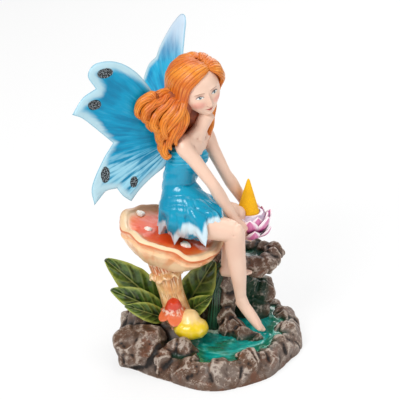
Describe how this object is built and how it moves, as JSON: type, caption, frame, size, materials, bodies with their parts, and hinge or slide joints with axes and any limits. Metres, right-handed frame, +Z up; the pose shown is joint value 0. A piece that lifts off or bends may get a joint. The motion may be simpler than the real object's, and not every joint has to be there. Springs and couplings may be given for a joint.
{
  "type": "backflow incense burner",
  "caption": "Painted resin incense burner: a winged figure on a toadstool holds a lotus dish with a cone over a rock basin, a waterfall and a pool.",
  "frame": {"origin": "middle of the flat underside", "axes": "+Z up, -Y towards the front that the picture shows, +X to the right of that view"},
  "size_m": [0.129, 0.1234, 0.1846],
  "materials": {
    "painted_resin": "hand painted, satin with gloss water and dress",
    "wing_resin": "glossy translucent",
    "incense": "pressed powder, matte"
  },
  "bodies": {
    "root": {"casting": "painted_resin", "wing_near": "wing_resin", "wing_far": "wing_resin", "incense_cone": "incense"}
  },
  "joints": []
}
